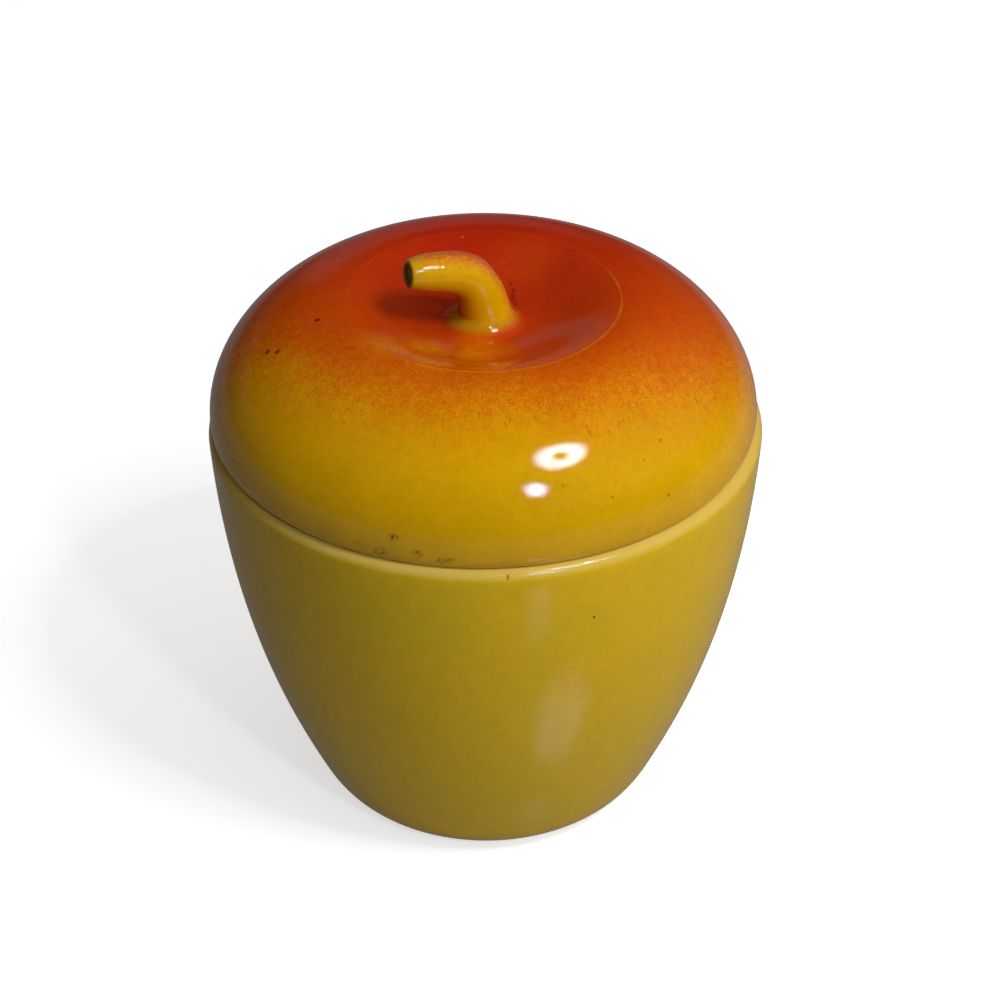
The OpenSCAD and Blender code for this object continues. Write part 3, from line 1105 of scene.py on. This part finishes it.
def stem_finish(g, place):
    """Yellow with a sprayed blush at the back, olive at foot and tip, painted shade at the left of
    the foot and under the bend, and a brown cut end.
    """
    middle = centred(g, place, LID_X, SEAT_Z)
    height = g.split(middle)["Z"]
    facing = g.facing()
    grain = g.swing(middle, 1, *STALK_GRAIN_NOISE)
    runs = g.swing(g.vector("MULTIPLY", middle, STALK_RUN_PRESS), 1, *STALK_RUN_NOISE)
    speckle = g.plus(g.times(grain, BLUSH_GRAIN), g.times(runs, BLUSH_RUNS))
    blush = g.steps(g.plus(g.dot(facing, BLUSH_WAY), speckle), *BLUSH_RANGE)
    colour = g.ramp(blush, BLUSH_STOPS)
    low = g.steps(height, *FOOT_OLIVE_HEIGHTS, 1, 0)
    colour = g.mix(g.times(low, FOOT_OLIVE), colour, OLIVE)
    tip, way = stalk_tip()
    from_tip = g.distance(middle, tip)
    colour = g.mix(g.steps(from_tip, *TIP_OLIVE_REACH, TIP_OLIVE, 0), colour, OLIVE)
    colour = toned(g, colour, middle, STALK_TONES)
    shaded, outside = stalk_foot_shade_and_spray(g, middle, g.plus(grain, runs))
    # Painted shade: dark olive on the left of the foot, the side away from the light
    colour = g.mix(shaded, colour, SHADE_OLIVE)
    # Painted shade: brown on the underside of the bend, chosen by the way the surface faces
    crook_shade = g.steps(g.dot(facing, CROOK_SHADE_WAY), *CROOK_SHADE_RANGE, 0, CROOK_SHADE)
    crook_shade = g.times(crook_shade, g.steps(from_tip, *CROOK_SHADE_FROM_TIP))
    colour = g.mix(crook_shade, colour, CROOK_SHADE_BROWN)
    on_crown = centred(g, place, LID_X, RIM_Z)
    colour = g.mix(outside, colour, sprayed(g, on_crown, thin_spray(g, on_crown)))
    past = g.dot(g.vector("SUBTRACT", middle, tip), way)
    from_cut = g.distance(middle, tip - Vector((0, 0, CUT_DROP)))
    cut = g.times(g.steps(past, *CUT_ALONG), g.steps(from_cut, *CUT_RADII, 1, 0))
    colour = g.mix(cut, colour, CUT_BROWN)
    rough = g.most(g.varied(middle, *STALK_ROUGH), g.times(cut, CUT_ROUGH))
    swell = g.bump(g.noise(middle, *SWELL_NOISE), SWELL)
    peel = g.bump(g.noise(middle, *PEEL_NOISE), PEEL, 1.0, swell)
    return colour, rough, peel


# How strongly each glaze mirrors
POT_SPECULAR = 0.28
LID_SPECULAR = 0.45


def add_pieces():
    """The three pieces in place of the CAD solids, each on its body."""
    pot = revolved("pot_glazed", pot_outline(), shape=pot_shape)
    lid = revolved("lid_glazed", lid_outline(), LID_X, RIM_Z, closed=True, shape=lid_shape)
    stem = stalk_mesh("stem_glazed")
    rows = [
        (pot, "pot", "pot", "pot_glaze", pot_finish, POT_SPECULAR),
        (lid, "lid", "lid", "lid_glaze", lid_finish, LID_SPECULAR),
        (stem, "lid", "stem", "stalk_glaze", stem_finish, LID_SPECULAR),
    ]
    for piece, body, node, slot, finish, specular in rows:
        piece.data.materials.append(glaze(slot, finish, specular))
        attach(piece, body)
        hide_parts(node)


# The camera at the photograph's place: its distance from a point on the axis, and its angles
LENS = 104.4
VIEW_DISTANCE = 0.51412
VIEW_ELEVATION = 34.5045
VIEW_AIM_Z = 0.056336
VIEW_YAW = 0.2764
VIEW_ROLL = -0.2784


def add_camera():
    data = bpy.data.cameras.new("camera")
    data.lens = LENS
    camera = bpy.data.objects.new("camera", data)
    bpy.context.scene.collection.objects.link(camera)
    up = math.radians(VIEW_ELEVATION)
    aim = Vector((0, 0, VIEW_AIM_Z))
    shift = Matrix.Translation(aim + VIEW_DISTANCE * at_azimuth(0, math.cos(up), math.sin(up)))
    tilt = Matrix.Rotation(math.pi / 2 - up, 4, "X")
    yaw = Matrix.Rotation(-math.radians(VIEW_YAW), 4, "Y")
    roll = Matrix.Rotation(math.radians(VIEW_ROLL), 4, "Z")
    camera.matrix_world = shift @ tilt @ yaw @ roll
    bpy.context.scene.camera = camera


# Stage: a pale floor that curves up into a low backdrop
FLOOR_R = 1.5
COVE_R = 0.5
COVE_STEPS = 16
FLOOR_DROP = 0.02 * MM

# What the floor gives the object in plain light, from its left to its right
FLOOR_GREY_LEFT = 0.18
FLOOR_GREY_RIGHT = 0.8
FLOOR_GREY_X = 0.25

# What the camera sees of it: paper that takes the shadow, and some glow
FLOOR_SHADED = 0.85
FLOOR_GLOW = 0.62

# What the glaze mirrors of it: less when farther out and at the left, with a faint sheen
FLOOR_NEAR_R = 0.38
FLOOR_FAR_R = 0.9
MIRRORED_NEAR = 0.18
MIRRORED_FAR = 0.04
MIRRORED_LEFT = 0.9
MIRRORED_LEFT_X = -0.25
MIRRORED_RIGHT_X = 0.2
FLOOR_SHEEN = 0.08
FLOOR_ROUGH = 0.12

# A pale card behind the object that only the glaze mirrors
CARD_AZIMUTH = -174
CARD_RISE = 10
CARD_INNER = 9
CARD_OUTER = 16
CARD_LEVEL = 0.12

# The light from the rest of the room: from above, and from the right
WORLD_LOW_Z = 0.15
WORLD_HIGH_Z = 0.95
WORLD_TOP = 0.23
WORLD_SIDE = 0.9
WORLD_MIRRORED = 0.15
SIDE_AZIMUTH = 80


def card(g, towards):
    """How bright the card is in a direction from the object."""
    rise = math.radians(CARD_RISE)
    middle = at_azimuth(CARD_AZIMUTH, math.cos(rise), math.sin(rise))
    outer, inner = math.cos(math.radians(CARD_OUTER)), math.cos(math.radians(CARD_INNER))
    return g.steps(g.dot(towards, middle), outer, inner, 0, CARD_LEVEL)


def mirrored_floor(g, place, x):
    """How bright the floor is in the glaze."""
    level = g.steps(g.length(place), FLOOR_NEAR_R, FLOOR_FAR_R, MIRRORED_NEAR, MIRRORED_FAR)
    level = g.times(level, g.steps(x, MIRRORED_LEFT_X, MIRRORED_RIGHT_X, MIRRORED_LEFT, 1))
    return g.most(level, card(g, g.vector("NORMALIZE", place)))


def floor_finish():
    """White to the camera with the shadow, dimmer in the glaze, and plain grey for its light."""
    made = bpy.data.materials.new("floor_paper")
    g = Graph(made)
    place = g.place()
    x = g.split(place)["X"]
    rays = g.add("ShaderNodeLightPath").outputs
    seen = g.most(rays["Is Camera Ray"], rays["Is Glossy Ray"], rays["Is Transmission Ray"])
    level = g.linear(rays["Is Glossy Ray"], 0, 1, 1, mirrored_floor(g, place, x))
    bounce = g.steps(x, -FLOOR_GREY_X, FLOOR_GREY_X, FLOOR_GREY_LEFT, FLOOR_GREY_RIGHT)
    plain = g.add("ShaderNodeBsdfDiffuse", {"Color": g.grey(bounce)}).outputs[0]
    paper = g.grey(g.times(level, FLOOR_SHADED))
    shaded = g.add("ShaderNodeBsdfDiffuse", {"Color": paper}).outputs[0]
    glow = g.add("ShaderNodeEmission", {"Strength": g.times(level, FLOOR_GLOW)}).outputs[0]
    white = g.add("ShaderNodeAddShader", {0: shaded, 1: glow}).outputs[0]
    gloss = g.grey(g.times(rays["Is Glossy Ray"], FLOOR_SHEEN))
    sheen = g.add("ShaderNodeBsdfGlossy", {"Color": gloss, "Roughness": FLOOR_ROUGH}).outputs[0]
    white = g.add("ShaderNodeAddShader", {0: white, 1: sheen}).outputs[0]
    mixed = g.add("ShaderNodeMixShader", {0: seen, 1: plain, 2: white}).outputs[0]
    g.add("ShaderNodeOutputMaterial", {"Surface": mixed})
    return made


def room_light(world):
    """Soft light from above and from the right, which the glaze mirrors only faintly."""
    g = Graph(world)
    towards = g.add("ShaderNodeTexCoord").outputs["Generated"]
    upward = g.split(towards)["Z"]
    rightward = g.dot(towards, at_azimuth(SIDE_AZIMUTH, 1, 0))
    strength = g.steps(upward, WORLD_LOW_Z, WORLD_HIGH_Z, 0, WORLD_TOP)
    strength = g.plus(strength, g.steps(rightward, 0, 1, 0, WORLD_SIDE))
    rays = g.add("ShaderNodeLightPath").outputs
    glossy = rays["Is Glossy Ray"]
    strength = g.times(strength, g.linear(glossy, 0, 1, 1, WORLD_MIRRORED))
    strength = g.plus(strength, g.times(card(g, towards), glossy))
    strength = g.linear(rays["Is Camera Ray"], 0, 1, strength, 1)
    light = g.add("ShaderNodeBackground", {"Color": (1, 1, 1, 1), "Strength": strength})
    g.add("ShaderNodeOutputWorld", {"Surface": light.outputs[0]})


def add_stage():
    a = np.radians(np.linspace(-90, 0, COVE_STEPS + 1))
    cove = np.column_stack([FLOOR_R + COVE_R * np.cos(a), COVE_R * (1 + np.sin(a))])
    floor = revolved("floor", np.vstack([[[0, 0]], cove]), base_z=-FLOOR_DROP)
    floor.data.flip_normals()
    floor.data.materials.append(floor_finish())
    world = bpy.data.worlds.new("studio")
    bpy.context.scene.world = world
    room_light(world)


# Lamps, by angle from the front towards +X, elevation and distance, with width, height and power
LAMP_AIM = Vector((0.01, -0.04, 0.09))
RING_LAMP_AT = (48, 55.6, 0.5)
RING_LAMP_SIZE = (0.13, 0.114)
RING_LAMP_HOLE = 0.72
RING_LAMP_POWER = 2.5
SMALL_LAMP_AT = (23.3, 36.5, 0.8)
SMALL_LAMP_SIZE = (0.065, 0.115)
SMALL_LAMP_POWER = 1.2
SMALL_LAMP_COLOUR = (0.62, 0.8, 1.0)

# The edge of a ring lamp's hole fades from one to the other of these shares of its width
HOLE_INNER = 0.4
HOLE_OUTER = 0.6


def add_lamp(name, at, size, power):
    """An oval lamp that shines at the object."""
    data = bpy.data.lights.new(name, "AREA")
    data.shape = "ELLIPSE"
    data.size, data.size_y = size
    data.energy = power
    lamp = bpy.data.objects.new(name, data)
    bpy.context.scene.collection.objects.link(lamp)
    azimuth, elevation, distance = at
    up = math.radians(elevation)
    towards = at_azimuth(azimuth, math.cos(up), math.sin(up))
    lamp.location = LAMP_AIM + towards * distance
    lamp.rotation_mode = "QUATERNION"
    lamp.rotation_quaternion = towards.to_track_quat("Z", "Y")
    lamp.visible_camera = False
    return data


def add_hole(data, hole_share):
    """The lamp's middle made dark, so that its reflection is a ring."""
    g = Graph(data)
    across = g.add("ShaderNodeNewGeometry").outputs["Parametric"]
    from_middle = g.distance(across, (0.5, 0.5, 0))
    lit = g.steps(from_middle, HOLE_INNER * hole_share, HOLE_OUTER * hole_share)
    light = g.add("ShaderNodeEmission", {"Strength": lit}).outputs[0]
    g.add("ShaderNodeOutputLight", {"Surface": light})


def add_lamps():
    """A ring lamp, and a small cool one."""
    ring = add_lamp("ring_lamp", RING_LAMP_AT, RING_LAMP_SIZE, RING_LAMP_POWER)
    add_hole(ring, RING_LAMP_HOLE)
    small = add_lamp("small_lamp", SMALL_LAMP_AT, SMALL_LAMP_SIZE, SMALL_LAMP_POWER)
    small.color = SMALL_LAMP_COLOUR


add_camera()
add_stage()
add_lamps()
add_pieces()
bpy.context.scene.view_settings.view_transform = "Standard"
